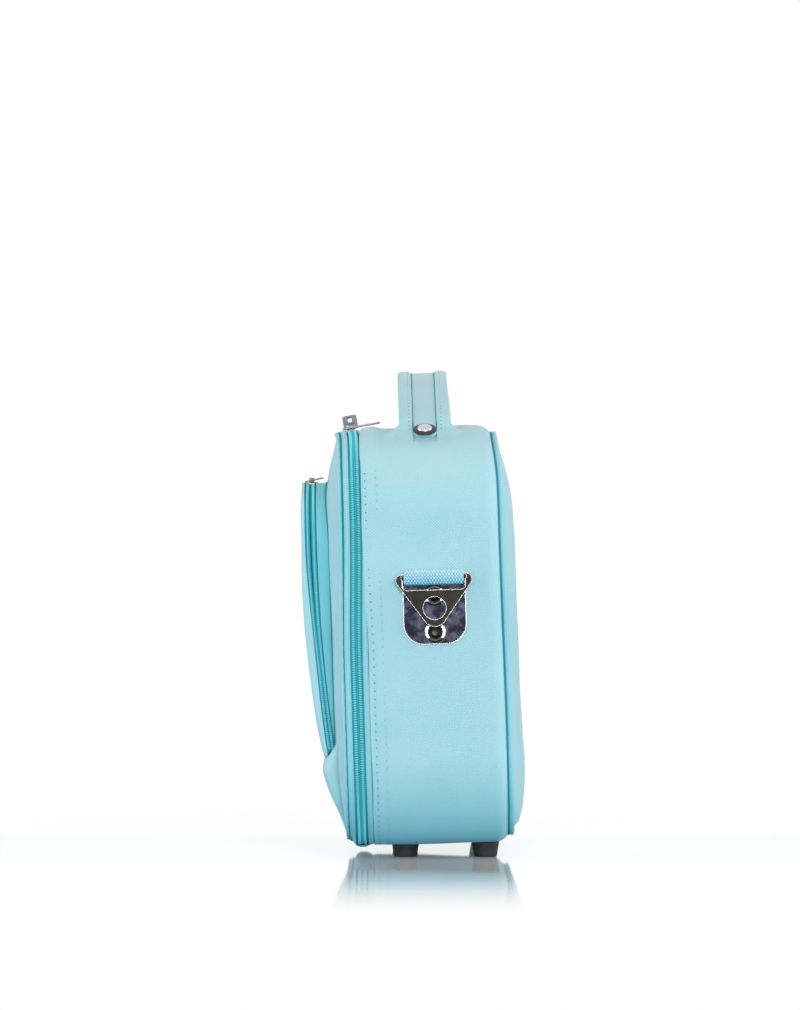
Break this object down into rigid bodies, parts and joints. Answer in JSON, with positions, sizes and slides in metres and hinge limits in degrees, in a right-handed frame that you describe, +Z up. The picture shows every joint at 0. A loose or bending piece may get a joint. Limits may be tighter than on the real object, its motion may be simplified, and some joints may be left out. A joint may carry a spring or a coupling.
{
  "type": "vanity case",
  "caption": "Soft zip-round beauty case: lid that hinges at its foot, zipped pocket, carry handle, strap anchors, rubber feet.",
  "frame": {"origin": "centre of the object's footprint box, on the floor under the feet", "axes": "+X to the case's right side with the strap anchor, along its width; +Y to the back; +Z up"},
  "size_m": [0.3476, 0.1439, 0.3132],
  "materials": {
    "cover": "turquoise twill, matt",
    "cover_trim": "turquoise twill, matt",
    "lining": "plain woven lining",
    "board": "stiffening board",
    "zip_tape": "woven zip tape",
    "zip_coil": "nylon coil",
    "chrome": "polished",
    "dark_nickel": "polished black nickel",
    "webbing": "coarse woven webbing",
    "rubber": "satin"
  },
  "bodies": {
    "case": {"side_gusset": "cover", "gusset_board": "board", "body_lining": "lining", "back_panel": "cover", "back_board": "board", "back_piping": "cover_trim", "base_board": "board", "body_strip": "cover_trim", "body_zip_tape": "zip_tape", "body_zip_coil": "zip_coil", "body_hinge_tape": "cover_trim", "handle_bands": "cover", "handle_strip": "cover", "handle_core": "board", "handle_lining": "cover_trim", "handle_rivets": "chrome", "handle_washers": "rubber", "handle_backing_washers": "chrome", "feet": "rubber", "foot_screws": "chrome", "foot_nuts": "chrome", "anchor_plates": "dark_nickel", "anchor_webbing": "webbing", "anchor_rivets": "dark_nickel", "anchor_backing_plates": "chrome"},
    "lid": {"lid_strip": "cover_trim", "lid_zip_tape": "zip_tape", "lid_zip_coil": "zip_coil", "lid_hinge_tape": "cover_trim", "lid_panel": "cover", "lid_board": "board", "lid_lining": "lining", "lid_piping": "cover_trim", "pocket_bellows": "cover_trim", "pocket_zip_tape_rear": "zip_tape", "pocket_zip_coil_rear": "zip_coil", "pocket_boot": "cover"},
    "flap": {"pocket_flap": "cover", "flap_lining": "lining", "pocket_zip_tape_front": "zip_tape", "pocket_zip_coil_front": "zip_coil"},
    "slider_near": {"main_slider_near": "chrome"},
    "pull_near": {"main_pull_near": "chrome"},
    "slider_far": {"main_slider_far": "chrome"},
    "pull_far": {"main_pull_far": "chrome"},
    "slider_pocket": {"pocket_slider": "chrome"},
    "pull_pocket": {"pocket_pull": "chrome"},
    "ring_right": {"strap_ring_right": "dark_nickel"},
    "ring_left": {"strap_ring_left": "dark_nickel"}
  },
  "joints": [
    {"name": "lid_hinge", "type": "hinge", "parent": "case", "child": "lid", "pos_m": [0, -0.03307, 0.00726], "axis": [1, 0, 0], "range_deg": [0, 60]},
    {"name": "pocket_flap_hinge", "type": "hinge", "parent": "lid", "child": "flap", "pos_m": [0, -0.05634, 0.06477], "axis": [1, 0, 0], "range_deg": [0, 100]},
    {"name": "main_slider_near_slide", "type": "slide", "parent": "case", "child": "slider_near", "axis": [1, 0, 0], "range_m": [0, 0.09]},
    {"name": "main_slider_far_slide", "type": "slide", "parent": "case", "child": "slider_far", "axis": [-1, 0, 0], "range_m": [0, 0.09]},
    {"name": "main_pull_near_swing", "type": "hinge", "parent": "slider_near", "child": "pull_near", "pos_m": [0.0122, -0.0413, 0.27653], "axis": [0, -0.1762, 0.9843], "range_deg": [-100, 0]},
    {"name": "main_pull_far_swing", "type": "hinge", "parent": "slider_far", "child": "pull_far", "pos_m": [-0.0105, -0.0413, 0.27648], "axis": [0, 0.9856, 0.1693], "range_deg": [-18, 75]},
    {"name": "pocket_slider_slide", "type": "slide", "parent": "lid", "child": "slider_pocket", "axis": [-1, 0, 0], "range_m": [0, 0.14]},
    {"name": "pocket_pull_swing", "type": "hinge", "parent": "slider_pocket", "child": "pull_pocket", "pos_m": [0.07311, -0.06618, 0.24194], "axis": [0, -0.2036, 0.979], "range_deg": [-110, 0]},
    {"name": "strap_ring_right_swing", "type": "hinge", "parent": "case", "child": "ring_right", "pos_m": [0.1716, 0.01227, 0.18022], "axis": [0, -0.9995, -0.0305], "range_deg": [0, 150]},
    {"name": "strap_ring_left_swing", "type": "hinge", "parent": "case", "child": "ring_left", "pos_m": [-0.1716, 0.01227, 0.18022], "axis": [0, 0.9995, 0.0305], "range_deg": [0, 150]}
  ]
}
